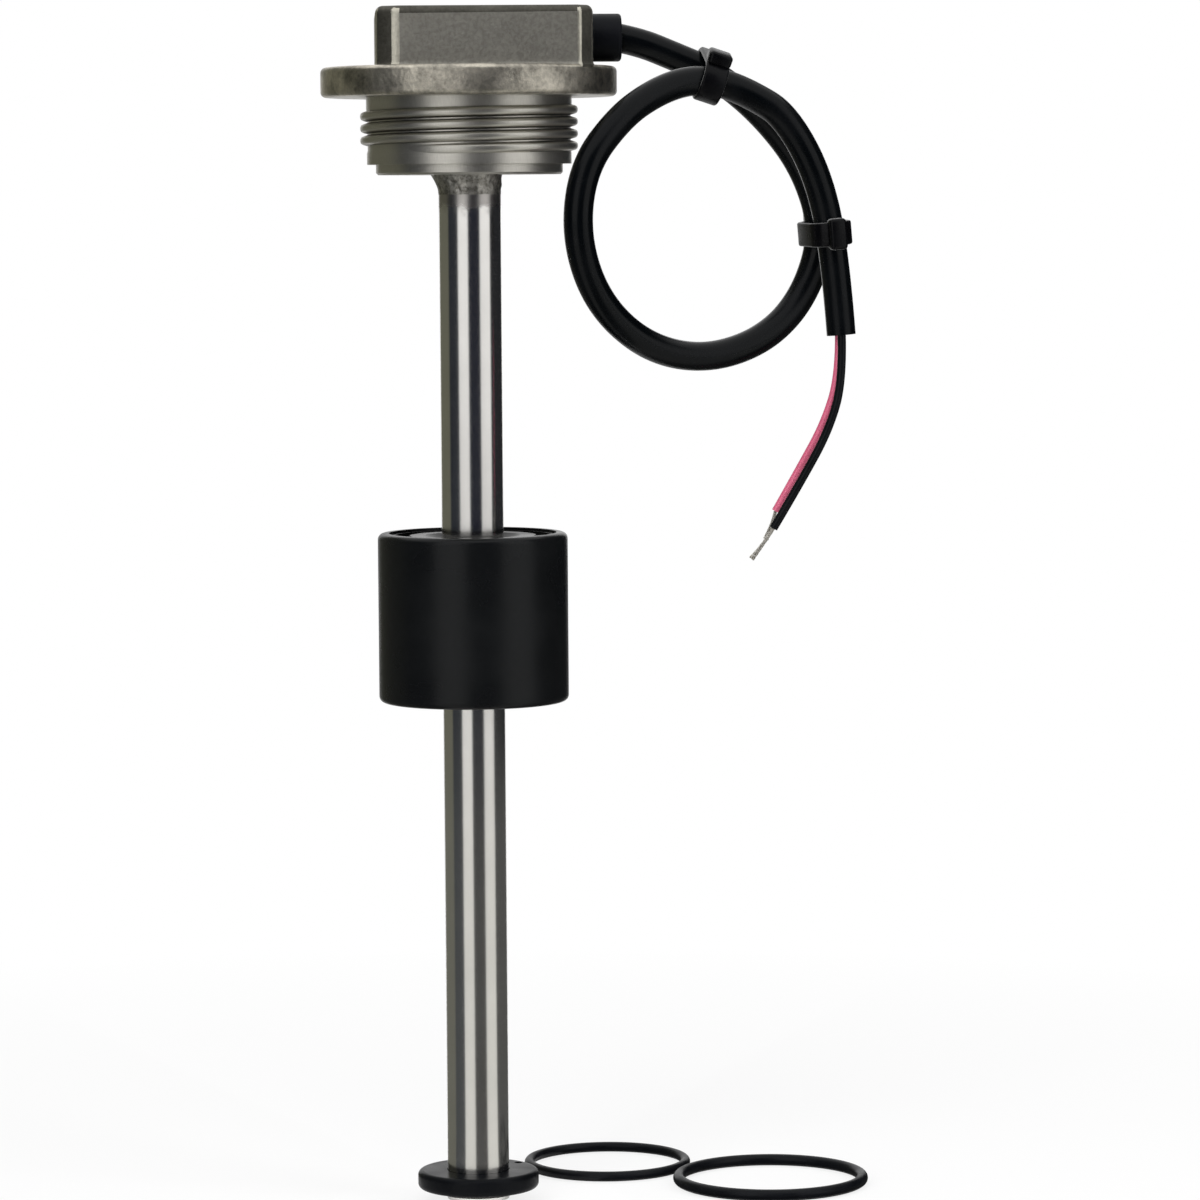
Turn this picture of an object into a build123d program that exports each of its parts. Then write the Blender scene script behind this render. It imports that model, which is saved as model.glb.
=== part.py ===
"""Tank level sender: a cast screw-in head, a reed stem with a magnetic float, and a looped cable.

Millimetres. The origin is the centre of the flange's underside, which seats on the tank.
The stem hangs down along -Z, and the cable leaves the head along +X.
"""
import os
from math import cos, pi, radians, tan

from build123d import *

# Head: one casting, machined below the flange
FLANGE_R = 28.5
FLANGE_T = 5.7
FLANGE_ROUND = 1.0
BLOCK_AF = 41.0
BLOCK_TOP = 16.9
CORNER_CUT = 2.9
CORNER_ROUND = 1.4
TOP_ROUND = 1.5
FOOT_ROUND = 1.0
NECK_R = 19.8
NECK_L = 2.4
THREAD_R = 20.955
THREAD_L = 7.2
THREAD_CHAMFER = 0.6
LAND_R = 19.7
LAND_L = 2.1
PILOT_R = 18.0
PILOT_L = 2.0
PILOT_CHAMFER = 0.4
CAVITY_R = 9.0
CAVITY_FLOOR = -2.0
CAVITY_ROOF_T = 4.0
CAVITY_ROUND = 2.0

# Cable entry
ENTRY_Z = 11.2
BOOT_R = 4.6
BOOT_PROUD = 5.4
BOOT_SHANK_R = 3.7
BOOT_ROUND = 0.7
BOOT_BACK_X = 12.0
CABLE_R = 2.8

# Stem and its lower end
STEM_R = 6.0
STEM_WALL = 1.0
STEM_IN_HEAD = 8.0
STEM_END_Z = -214.4
FIT = 0.03
WELD_L = 3.8
WELD_TOP_R = 6.9
WELD_MID_R = 6.35
WELD_OFFSET = -0.62
PLUG_L = 4.5
PLUG_DOME = 1.0
STOP_R = 11.8
STOP_TOP_Z = -208.8
STOP_T = 3.6
STOP_ROUND = 1.0
STOP_CLEARANCE = 0.1
STOP_DIMPLE_R = 0.8
STOP_DIMPLE_DEPTH = 1.2
STOP_DIMPLE_AT = (8.0, 5.6)
CLIP_T = 0.9
CLIP_R = 7.6
CLIP_GROOVE_DEPTH = 0.4
CLIP_GAP_DEG = 70.0

# Float
FLOAT_TOP_Z = -84.0
FLOAT_H = 32.8
FLOAT_R = 18.4
FLOAT_WALL = 1.6
FLOAT_ROUND = 1.2
FLOAT_BORE_CLEARANCE = 0.7
BORE_WALL = 1.5
MOUTH_R = 9.4
MOUTH_DEPTH = 1.4
CAP_T = 1.8
CAP_RECESS = 0.5
CAP_R = 16.2
CAP_GROOVE_R = (12.2, 15.2)
CAP_GROOVE_DEPTH = 0.6
CAP_SKIRT_WALL = 1.4
MAGNET_R = 13.0
MAGNET_H = 8.0
MAGNET_MID_BELOW_TOP = 16.4
SEAT_CLEARANCE = 0.05

# Reed board inside the stem
BOARD_W = 7.4
BOARD_T = 1.0
BOARD_FRONT_Y = 0.6
BOARD_TOP_Z = 4.0
BOARD_END_GAP = 2.0
REED_COUNT = 12
REED_FIRST_Z = -38.0
REED_PITCH = 13.6
REED_R = 1.1
REED_L = 9.0
REED_LEAD = (0.6, 0.2)
REED_LEAD_L = 1.9
RESISTOR_SIZE = (1.6, 0.6, 3.2)

# Wires
WIRE_BLACK_R = 0.82
WIRE_PINK_R = 0.75
STRAND_R = 0.5
WIRE_GAP = 0.06

# Ties round the cable loop
TIE_W = 4.0
TIE_T = 1.2
TIE_CLEARANCE = 0.65
TIE_HEAD = (4.6, 5.2, 3.6)
TIE_UPPER_NEAR = (47.4, -4.6, 2.0)
TIE_LOWER_NEAR = (67.6, -2.2, -26.0)

# Seal rings taken off, lying level with the stem's tip
SMALL_RING_R = 15.8
SMALL_RING_CORD_R = 1.0
SMALL_RING_AT = (27.0, 34.0)
LARGE_RING_R = 18.25
LARGE_RING_CORD_R = 1.15
LARGE_RING_AT = (58.5, 14.0)

# Routes, chosen by hand: out of the head, once round the loop, over itself and down to the bare ends
CABLE_ROUTE = [
    (BLOCK_AF / 2 + BOOT_PROUD, 0.0, ENTRY_Z),
    (32.6, 0.0, ENTRY_Z),
    (39.4, -0.5, 8.9),
    (47.2, -1.1, 3.9),
    (56.6, -1.3, -4.2),
    (64.2, -0.4, -14.4),
    (68.0, 1.0, -26.6),
    (66.6, 0.4, -39.2),
    (58.0, -4.2, -49.0),
    (45.4, -9.6, -53.0),
    (32.2, -15.4, -50.0),
    (22.4, -20.8, -40.4),
    (18.9, -24.2, -27.2),
    (21.0, -23.4, -13.8),
    (28.2, -19.2, -4.2),
    (35.2, -14.4, 1.6),
    (41.4, -10.8, 4.2),
    (48.0, -8.8, 4.0),
    (54.0, -7.9, 1.0),
    (59.2, -7.4, -4.4),
    (66.2, -6.3, -16.6),
    (69.9, -5.0, -31.2),
    (70.9, -5.0, -46.2),
]
CABLE_END = CABLE_ROUTE[-1]
BLACK_ROUTE = [
    (CABLE_END[0], CABLE_END[1] - WIRE_BLACK_R - WIRE_GAP, CABLE_END[2]),
    (71.5, -5.9, -55.0),
    (68.8, -6.2, -64.4),
    (63.4, -6.4, -74.2),
    (57.9, -6.3, -83.4),
]
PINK_ROUTE = [
    (CABLE_END[0], CABLE_END[1] + WIRE_PINK_R + WIRE_GAP, CABLE_END[2]),
    (71.4, -4.2, -54.2),
    (68.2, -4.0, -63.4),
    (62.8, -3.9, -72.2),
    (58.2, -4.2, -80.6),
]
BLACK_STRANDS = [BLACK_ROUTE[-1], (56.0, -6.3, -86.4), (53.6, -6.5, -89.2)]
PINK_STRANDS = [PINK_ROUTE[-1], (56.4, -4.4, -83.6), (54.4, -4.7, -86.2)]
BLACK_LEAD = [(BOOT_BACK_X, -1.0, ENTRY_Z), (6.5, -1.0, ENTRY_Z), (2.3, -0.9, 7.4), (1.9, -0.4, 1.0)]
PINK_LEAD = [(BOOT_BACK_X, 1.0, ENTRY_Z), (5.4, 1.0, ENTRY_Z), (-0.9, 0.2, 8.2), (-1.9, -0.45, 1.0)]

# Heights that follow from the sizes above
NECK_END_Z = -NECK_L
THREAD_END_Z = NECK_END_Z - THREAD_L - 2 * THREAD_CHAMFER
LAND_END_Z = THREAD_END_Z - LAND_L
PILOT_END_Z = LAND_END_Z - PILOT_L
CAVITY_TOP_Z = BLOCK_TOP - CAVITY_ROOF_T
STEM_TOP_Z = PILOT_END_Z + STEM_IN_HEAD
FLOAT_END_Z = FLOAT_TOP_Z - FLOAT_H
STOP_END_Z = STOP_TOP_Z - STOP_T
BORE_R = STEM_R + FLOAT_BORE_CLEARANCE
STEM_BORE_R = STEM_R - STEM_WALL
TIP_Z = STEM_END_Z - PLUG_DOME


def turned(points):
    """Revolve a closed (radius, height) outline about Z."""
    outline = Polyline([(r, 0, z) for r, z in points], close=True)
    return revolve(make_face(outline), Axis.Z)


def ring(outer, inner, low, high):
    """A plain ring between two heights."""
    return turned([(inner, low), (outer, low), (outer, high), (inner, high)])


def cord_path(points):
    """Straight runs joined by arcs, each as large as its two runs allow."""
    radii = []
    for before, here, after in zip(points, points[1:], points[2:]):
        arriving = Vector(*here) - Vector(*before)
        leaving = Vector(*after) - Vector(*here)
        half_turn = radians(arriving.get_angle(leaving)) / 2
        radii.append(0.45 * min(arriving.length, leaving.length) / tan(half_turn))
    return FilletPolyline(*points, radius=radii), radii


def cord(points, radius, name):
    """A round cord along a route, with its radii and its volume printed."""
    path, radii = cord_path(points)
    solid = sweep(Plane(path @ 0, z_dir=path % 0) * Circle(radius), path=path)
    share = solid.volume / (pi * radius**2 * path.length)
    print(name, "radii", [round(r, 1) for r in radii])
    print(name, "length", round(path.length, 1), "volume over section x length", round(share, 4))
    return solid


def head_casting():
    """Square wrench block with cut corners on a round flange, over a machined spigot."""
    block_h = BLOCK_TOP - FLANGE_T
    block = extrude(Plane.XY.offset(FLANGE_T) * Rectangle(BLOCK_AF, BLOCK_AF), block_h)
    block = chamfer(block.edges().filter_by(Axis.Z), CORNER_CUT)
    block = fillet(block.edges().filter_by(Axis.Z), CORNER_ROUND)
    block = fillet(block.edges().group_by(Axis.Z)[-1], TOP_ROUND)
    flange = turned([(0, 0), (FLANGE_R, 0), (FLANGE_R, FLANGE_T), (0, FLANGE_T)])
    flange = fillet(flange.edges().filter_by(GeomType.CIRCLE), FLANGE_ROUND)
    body = flange + block
    foot = [e for e in body.edges() if abs(e.center().Z - FLANGE_T) < 0.01 and e.geom_type == GeomType.LINE]
    foot += [
        e
        for e in body.edges()
        if abs(e.center().Z - FLANGE_T) < 0.01 and e.geom_type == GeomType.CIRCLE and e.length < BLOCK_AF / 2
    ]
    body = fillet(foot, FOOT_ROUND)
    spigot = turned(
        [
            (0, 0),
            (NECK_R, 0),
            (NECK_R, NECK_END_Z),
            (THREAD_R, NECK_END_Z - THREAD_CHAMFER),
            (THREAD_R, THREAD_END_Z + THREAD_CHAMFER),
            (LAND_R, THREAD_END_Z),
            (LAND_R, LAND_END_Z),
            (PILOT_R, LAND_END_Z),
            (PILOT_R, PILOT_END_Z + PILOT_CHAMFER),
            (PILOT_R - PILOT_CHAMFER, PILOT_END_Z),
            (0, PILOT_END_Z),
        ]
    )
    entry = Pos(0, 0, ENTRY_Z) * Rot(0, 90, 0) * Cylinder(
        BOOT_SHANK_R, BLOCK_AF, align=(Align.CENTER, Align.CENTER, Align.MIN)
    )
    socket = ring(STEM_R + FIT, 0, PILOT_END_Z - 1, CAVITY_FLOOR)
    return body + spigot - cavity_core() - socket - entry


def cavity_core():
    """The cored hollow over the stem, which the potting fills."""
    core = turned([(0, CAVITY_FLOOR), (CAVITY_R, CAVITY_FLOOR), (CAVITY_R, CAVITY_TOP_Z), (0, CAVITY_TOP_Z)])
    return fillet(core.edges().filter_by(GeomType.CIRCLE), CAVITY_ROUND)


def stem_tube():
    """Drawn tube let into the head, with a groove for the clip under the stop."""
    tube = ring(STEM_R, STEM_BORE_R, STEM_END_Z, STEM_TOP_Z)
    groove_floor = STEM_R - CLIP_GROOVE_DEPTH
    return tube - ring(STEM_R + 1, groove_floor, STOP_END_Z - CLIP_T - SEAT_CLEARANCE, STOP_END_Z)


def weld_bead():
    """Fillet of weld metal, heavier on the side away from the cable."""
    bead = loft(
        [
            Pos(WELD_OFFSET, 0, PILOT_END_Z) * Circle(WELD_TOP_R),
            Pos(WELD_OFFSET / 2, 0, PILOT_END_Z - WELD_L / 2) * Circle(WELD_MID_R),
            Pos(0, 0, PILOT_END_Z - WELD_L) * Circle(STEM_R + FIT),
        ]
    )
    return bead - ring(STEM_R, 0, PILOT_END_Z - WELD_L - 1, PILOT_END_Z + 1)


def stem_end_plug():
    """Turned plug with a low domed head that closes the tube."""
    shank_r = STEM_BORE_R - FIT
    dome_r = (STEM_R**2 + PLUG_DOME**2) / (2 * PLUG_DOME)
    with BuildPart() as plug:
        with BuildSketch(Plane.XZ):
            with BuildLine():
                Line((0, STEM_END_Z + PLUG_L), (shank_r, STEM_END_Z + PLUG_L))
                Line((shank_r, STEM_END_Z + PLUG_L), (shank_r, STEM_END_Z))
                Line((shank_r, STEM_END_Z), (STEM_R, STEM_END_Z))
                RadiusArc((STEM_R, STEM_END_Z), (0, TIP_Z), dome_r)
                Line((0, TIP_Z), (0, STEM_END_Z + PLUG_L))
            make_face()
        revolve(axis=Axis.Z)
    return plug.part


def float_stop():
    """Moulded disc that ends the float's travel, with a small sprue dimple on top."""
    disc = ring(STOP_R, STEM_R + STOP_CLEARANCE, STOP_END_Z, STOP_TOP_Z)
    rims = [e for e in disc.edges().filter_by(GeomType.CIRCLE) if e.radius > STEM_R + 1]
    disc = fillet(rims, STOP_ROUND)
    x, y = STOP_DIMPLE_AT
    return disc - Pos(x, y, STOP_TOP_Z) * Cylinder(STOP_DIMPLE_R, 2 * STOP_DIMPLE_DEPTH)


def stop_clip():
    """Open spring clip in the stem's groove, under the stop."""
    top = STOP_END_Z - SEAT_CLEARANCE / 2
    clip = ring(CLIP_R, STEM_R - CLIP_GROOVE_DEPTH + FIT, top - CLIP_T, top)
    half = CLIP_R * 2
    spread = half * tan(radians(CLIP_GAP_DEG / 2))
    gap = make_face(Polyline([(0, 0, top - 2), (spread, half, top - 2), (-spread, half, top - 2)], close=True))
    return clip - extrude(gap, amount=4, dir=(0, 0, 1))


def magnet_span():
    """Lower and upper height of the float's magnet."""
    mid = FLOAT_TOP_Z - MAGNET_MID_BELOW_TOP
    return mid - MAGNET_H / 2, mid + MAGNET_H / 2


def float_shell():
    """Moulded cup with a bore tube and a pedestal that carries the magnet."""
    magnet_low = magnet_span()[0]
    inner_r = FLOAT_R - FLOAT_WALL
    tube_r = BORE_R + BORE_WALL
    pedestal_r = tube_r + BORE_WALL
    floor = FLOAT_END_Z + FLOAT_WALL
    cap_seat = FLOAT_TOP_Z - CAP_RECESS - CAP_T - SEAT_CLEARANCE
    shell = turned(
        [
            (BORE_R, FLOAT_END_Z),
            (FLOAT_R, FLOAT_END_Z),
            (FLOAT_R, FLOAT_TOP_Z),
            (CAP_R + SEAT_CLEARANCE, FLOAT_TOP_Z),
            (CAP_R + SEAT_CLEARANCE, cap_seat),
            (inner_r - 1.4, cap_seat),
            (inner_r - 1.4, cap_seat - 1.5),
            (inner_r, cap_seat - 3.0),
            (inner_r, floor),
            (pedestal_r, floor),
            (pedestal_r, magnet_low - SEAT_CLEARANCE),
            (tube_r, magnet_low - SEAT_CLEARANCE),
            (tube_r, cap_seat),
            (BORE_R, cap_seat),
        ]
    )
    rims = [e for e in shell.edges().filter_by(GeomType.CIRCLE) if abs(e.radius - FLOAT_R) < 0.01]
    return fillet(rims, FLOAT_ROUND)


def float_cap():
    """Ring lid let into the cup, grooved on top, with a skirt that holds the magnet down."""
    magnet_high = magnet_span()[1]
    top = FLOAT_TOP_Z - CAP_RECESS
    low = top - CAP_T
    skirt_in = BORE_R + BORE_WALL + SEAT_CLEARANCE
    skirt_out = skirt_in + CAP_SKIRT_WALL
    groove_in, groove_out = CAP_GROOVE_R
    return turned(
        [
            (BORE_R, low),
            (skirt_in, low),
            (skirt_in, magnet_high + SEAT_CLEARANCE),
            (skirt_out, magnet_high + SEAT_CLEARANCE),
            (skirt_out, low),
            (CAP_R, low),
            (CAP_R, top),
            (groove_out, top),
            (groove_out, top - CAP_GROOVE_DEPTH),
            (groove_in, top - CAP_GROOVE_DEPTH),
            (groove_in, top),
            (MOUTH_R, top),
            (BORE_R, top - MOUTH_DEPTH),
        ]
    )


def float_magnet():
    """Ferrite ring round the bore tube."""
    low, high = magnet_span()
    return ring(MAGNET_R, BORE_R + BORE_WALL + SEAT_CLEARANCE, low, high)


def circuit_board():
    """Narrow board, from the head's hollow to just over the end plug."""
    low = STEM_END_Z + PLUG_L + BOARD_END_GAP
    height = BOARD_TOP_Z - low
    middle = Pos(0, BOARD_FRONT_Y + BOARD_T / 2, low + height / 2)
    return middle * Box(BOARD_W, BOARD_T, height)


def reed_switches():
    """Glass reed switches in a row along the float's travel, each standing on its two bent blades."""
    axis_y = BOARD_FRONT_Y - REED_R - 0.1
    blade_w, blade_t = REED_LEAD
    lead_end = REED_L / 2 + REED_LEAD_L
    blade = Box(blade_w, blade_t, 2 * lead_end)
    foot_h = BOARD_FRONT_Y - axis_y - FIT
    foot = Box(blade_w, foot_h, blade_t, align=(Align.CENTER, Align.MIN, Align.CENTER))
    foot_z = lead_end - blade_t / 2
    switch = Cylinder(REED_R, REED_L) + blade + Pos(0, 0, foot_z) * foot + Pos(0, 0, -foot_z) * foot
    places = [Pos(0, axis_y, REED_FIRST_Z - i * REED_PITCH) for i in range(REED_COUNT)]
    return Compound([place * switch for place in places])


def resistors():
    """Chip resistors behind the board, one to each reed switch."""
    back_y = BOARD_FRONT_Y + BOARD_T + FIT
    chip = Box(*RESISTOR_SIZE, align=(Align.CENTER, Align.MIN, Align.CENTER))
    places = [Pos(0, back_y, REED_FIRST_Z - i * REED_PITCH) for i in range(REED_COUNT)]
    return Compound([place * chip for place in places])


def cable_boot():
    """Boot moulded on the cable's end and pressed into the head's side."""
    face_x = BLOCK_AF / 2
    boot = turned(
        [
            (0, BOOT_BACK_X),
            (BOOT_SHANK_R - FIT, BOOT_BACK_X),
            (BOOT_SHANK_R - FIT, face_x),
            (BOOT_R, face_x),
            (BOOT_R, face_x + BOOT_PROUD),
            (0, face_x + BOOT_PROUD),
        ]
    )
    rim = [e for e in boot.edges().filter_by(GeomType.CIRCLE) if abs(e.radius - BOOT_R) < 0.01]
    boot = fillet(rim, BOOT_ROUND)
    return Pos(0, 0, ENTRY_Z) * Rot(0, 90, 0) * boot


def strand_at(path, near, start, stop):
    """Where one pass of the cable comes nearest to a point, and its direction there."""
    steps = [start + (stop - start) * i / 200 for i in range(201)]
    best = min(steps, key=lambda u: (path @ u - Vector(*near)).length)
    return path @ best, path % best


def cable_tie(near, head_side):
    """Closed band round both passes of the cable, with its lock on one side."""
    path, _ = cord_path(CABLE_ROUTE)
    first, along_first = strand_at(path, near, 0.05, 0.5)
    second, along_second = strand_at(path, near, 0.65, 0.98)
    across = second - first
    plane = Plane((first + second) * 0.5, x_dir=across, z_dir=along_first + along_second)
    inner_r = CABLE_R + TIE_CLEARANCE
    outer_r = inner_r + TIE_T
    hole = SlotCenterToCenter(across.length, 2 * inner_r)
    band = extrude(SlotCenterToCenter(across.length, 2 * outer_r) - hole, TIE_W / 2, both=True)
    lock_x = across.length / 2 + inner_r + TIE_HEAD[0] / 2
    lock = Pos(head_side * lock_x, 0, 0) * Box(*TIE_HEAD)
    lock = lock - extrude(hole, TIE_W, both=True)
    return plane * (band + lock)


def head_potting(leads, board):
    """Resin that fills the head's hollow round the leads and the board."""
    resin = cavity_core()
    for piece in [board, *leads]:
        resin = resin - piece
    return resin - ring(CAVITY_R + 1, 0, CAVITY_FLOOR - 1, CAVITY_FLOOR + 3)


def seal_ring(ring_r, cord_r, at):
    """Rubber seal ring lying flat, level with the stem's tip."""
    return Pos(at[0], at[1], TIP_Z + cord_r) * Torus(ring_r, cord_r)


def build():
    """Every node of the part, by name."""
    leads = [cord(BLACK_LEAD, WIRE_BLACK_R, "inner_lead_black"), cord(PINK_LEAD, WIRE_PINK_R, "inner_lead_pink")]
    board = circuit_board()
    return {
        "head_casting": head_casting(),
        "stem_tube": stem_tube(),
        "weld_bead": weld_bead(),
        "stem_end_plug": stem_end_plug(),
        "float_stop": float_stop(),
        "stop_clip": stop_clip(),
        "float_shell": float_shell(),
        "float_cap": float_cap(),
        "float_magnet": float_magnet(),
        "circuit_board": board,
        "reed_switches": reed_switches(),
        "resistors": resistors(),
        "inner_lead_black": leads[0],
        "inner_lead_pink": leads[1],
        "head_potting": head_potting(leads, board),
        "cable_boot": cable_boot(),
        "cable_jacket": cord(CABLE_ROUTE, CABLE_R, "cable_jacket"),
        "wire_black": cord(BLACK_ROUTE, WIRE_BLACK_R, "wire_black"),
        "wire_pink": cord(PINK_ROUTE, WIRE_PINK_R, "wire_pink"),
        "strands_black": cord(BLACK_STRANDS, STRAND_R, "strands_black"),
        "strands_pink": cord(PINK_STRANDS, STRAND_R, "strands_pink"),
        "tie_upper": cable_tie(TIE_UPPER_NEAR, 1),
        "tie_lower": cable_tie(TIE_LOWER_NEAR, -1),
        "seal_ring_small": seal_ring(SMALL_RING_R, SMALL_RING_CORD_R, SMALL_RING_AT),
        "seal_ring_large": seal_ring(LARGE_RING_R, LARGE_RING_CORD_R, LARGE_RING_AT),
    }


os.makedirs("parts", exist_ok=True)
for name, shape in build().items():
    export_step(shape, f"parts/{name}.step")
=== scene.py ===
import math

import bmesh
import bpy
from mathutils import Matrix, Quaternion, Vector, noise


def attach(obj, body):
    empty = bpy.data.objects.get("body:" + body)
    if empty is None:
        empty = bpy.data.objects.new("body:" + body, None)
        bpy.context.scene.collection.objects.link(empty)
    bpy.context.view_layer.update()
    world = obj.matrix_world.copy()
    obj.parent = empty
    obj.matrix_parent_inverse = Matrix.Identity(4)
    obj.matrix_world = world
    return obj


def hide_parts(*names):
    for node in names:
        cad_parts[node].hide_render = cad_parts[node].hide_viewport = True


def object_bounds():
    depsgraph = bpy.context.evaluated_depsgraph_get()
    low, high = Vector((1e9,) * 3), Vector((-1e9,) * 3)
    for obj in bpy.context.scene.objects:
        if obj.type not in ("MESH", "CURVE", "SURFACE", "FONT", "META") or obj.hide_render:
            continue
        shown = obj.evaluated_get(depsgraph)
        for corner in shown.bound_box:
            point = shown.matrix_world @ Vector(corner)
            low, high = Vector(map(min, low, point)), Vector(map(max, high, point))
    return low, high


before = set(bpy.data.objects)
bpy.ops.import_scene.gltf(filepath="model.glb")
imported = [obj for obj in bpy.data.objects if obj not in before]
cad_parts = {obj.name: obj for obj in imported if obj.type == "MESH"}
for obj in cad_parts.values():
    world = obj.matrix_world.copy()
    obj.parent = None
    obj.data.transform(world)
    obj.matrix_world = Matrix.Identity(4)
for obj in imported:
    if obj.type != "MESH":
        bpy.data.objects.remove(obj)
cad_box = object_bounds()

# Camera: a long lens a metre away, a little above the float and looking slightly down.
# The sender hangs 0.4 degrees out of plumb in its picture, so the camera is rolled by that.
camera = bpy.data.objects.new("camera", bpy.data.cameras.new("camera"))
bpy.context.scene.collection.objects.link(camera)
bpy.context.scene.camera = camera
camera.data.lens = 150
camera.data.sensor_width = 36
camera.location = (-0.0236, -0.967, -0.020)
camera_aim = Vector((0.0246, 0, -0.0974))
camera.rotation_mode = "QUATERNION"
level_view = (camera_aim - camera.location).to_track_quat("-Z", "Y")
camera.rotation_quaternion = level_view @ Quaternion((0, 0, 1), math.radians(-0.4))


# Cable jacket: a soft two-core cable, out of the boot, once round a loop and over itself.
# Its jacket is extruded PVC: satin black, with a fine grain and dust in soft patches.
# Mirrored rays pass it by, or it would draw a dark line down the polished stem.
def linear(hex_colour):
    """An sRGB hex colour as linear RGBA."""
    parts = [int(hex_colour[i : i + 2], 16) / 255 for i in (1, 3, 5)]
    return (*[c / 12.92 if c <= 0.04045 else ((c + 0.055) / 1.055) ** 2.4 for c in parts], 1)


def add_node(tree, kind, sockets=None, **settings):
    """A node with its settings, each socket named in sockets set to a value or linked from an output."""
    made = tree.nodes.new("ShaderNode" + kind)
    for name, value in settings.items():
        setattr(made, name, value)
    for name, value in (sockets or {}).items():
        if isinstance(value, bpy.types.NodeSocket):
            tree.links.new(value, made.inputs[name])
        else:
            made.inputs[name].default_value = value
    return made


def start_material(name, colour, roughness, metallic=0.0):
    """A material with its plain values, its node tree, its shader and its Object coordinates."""
    made = bpy.data.materials.new(name)
    made.use_nodes = True
    tree = made.node_tree
    shader = tree.nodes["Principled BSDF"]
    shader.inputs["Base Color"].default_value = linear(colour)
    shader.inputs["Roughness"].default_value = roughness
    shader.inputs["Metallic"].default_value = metallic
    return made, tree, shader, add_node(tree, "TexCoord").outputs["Object"]


def smooth_compound(name, colour, dust, roughness, grain_mm, grain_depth_mm, bloom_mm, shine=0.2):
    """A smooth compound: surface grain, drawn coarser than it is, and a duller bloom of dust in patches."""
    made, tree, shader, place = start_material(name, colour, roughness)
    shader.inputs["Specular IOR Level"].default_value = shine
    bloom = add_node(tree, "TexNoise", {"Vector": place, "Scale": 1000 / bloom_mm, "Detail": 3})
    share = add_node(
        tree, "MapRange", {"Value": bloom.outputs["Fac"], "From Min": 0.45, "From Max": 0.75, "To Max": 0.55}
    )
    mix = add_node(
        tree, "Mix", {0: share.outputs["Result"], 6: linear(colour), 7: linear(dust)}, data_type="RGBA"
    )
    tree.links.new(mix.outputs[2], shader.inputs["Base Color"])
    dull = add_node(
        tree,
        "MapRange",
        {
            "Value": bloom.outputs["Fac"],
            "From Min": 0.3,
            "From Max": 0.7,
            "To Min": roughness - 0.05,
            "To Max": roughness + 0.09,
        },
    )
    tree.links.new(dull.outputs["Result"], shader.inputs["Roughness"])
    grain = add_node(tree, "TexNoise", {"Vector": place, "Scale": 1000 / grain_mm, "Detail": 2})
    bump = add_node(
        tree, "Bump", {"Height": grain.outputs["Fac"], "Distance": grain_depth_mm / 1000, "Strength": 0.6}
    )
    tree.links.new(bump.outputs["Normal"], shader.inputs["Normal"])
    return made


def routed(name, points, radius):
    """A round cord along one smooth line with these control points."""
    curve = bpy.data.curves.new(name, "CURVE")
    curve.dimensions = "3D"
    line = curve.splines.new("NURBS")
    line.points.add(len(points) - 1)
    for control, point in zip(line.points, points):
        control.co = (*point, 1)
    line.order_u = 3
    line.use_endpoint_u = True
    line.resolution_u = 12
    curve.bevel_depth = radius
    curve.bevel_resolution = 7
    curve.use_fill_caps = True
    cord = bpy.data.objects.new(name, curve)
    bpy.context.scene.collection.objects.link(cord)
    return cord


CABLE_RADIUS = 0.0028
CABLE_ROUTE = [
    (0.0285, 0.0, 0.0112),
    (0.0330, 0.0, 0.0103),
    (0.0392, -0.0005, 0.0077),
    (0.0472, -0.0011, 0.0043),
    (0.0566, -0.0013, -0.0034),
    (0.0647, -0.0004, -0.0138),
    (0.0686, 0.0010, -0.0263),
    (0.0648, 0.0004, -0.0387),
    (0.0568, -0.0042, -0.0470),
    (0.0448, -0.0096, -0.0507),
    (0.0330, -0.0154, -0.0481),
    (0.0235, -0.0208, -0.0394),
    (0.0192, -0.0242, -0.0267),
    (0.0209, -0.0234, -0.0136),
    (0.0281, -0.0192, -0.0043),
    (0.0352, -0.0144, 0.0005),
    (0.0419, -0.0108, 0.0028),
    (0.0482, -0.0088, 0.0023),
    (0.0540, -0.0079, -0.0001),
    (0.0604, -0.0074, -0.0040),
    (0.0669, -0.0063, -0.0155),
    (0.0702, -0.0050, -0.0312),
    (0.0713, -0.0050, -0.0462),
]
jacket_pvc = smooth_compound("jacket_pvc_extruded", "#020304", "#050608", 0.24, 0.7, 0.005, 9, 0.16)
cable = routed("cable", CABLE_ROUTE, CABLE_RADIUS)
cable.data.materials.append(jacket_pvc)
cable.visible_glossy = False
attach(cable, "sender")
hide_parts("cable_jacket")


# Core wires: two stranded cores in thin extruded PVC, one black and one pink, out of the jacket's end.
# They hang a little apart and lean back towards the stem. Both are satin, the pink in two close shades.
def mottled(name, plain, dark, light, roughness, metallic, scale):
    """A material of two close shades in soft spots, this many to the metre. Plain is its flat colour."""
    made, tree, shader, place = start_material(name, plain, roughness, metallic)
    spots = add_node(tree, "TexNoise", {"Vector": place, "Scale": scale, "Detail": 2})
    shade = add_node(
        tree, "Mix", {0: spots.outputs["Fac"], 6: linear(dark), 7: linear(light)}, data_type="RGBA"
    )
    tree.links.new(shade.outputs[2], shader.inputs["Base Color"])
    return made


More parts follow.
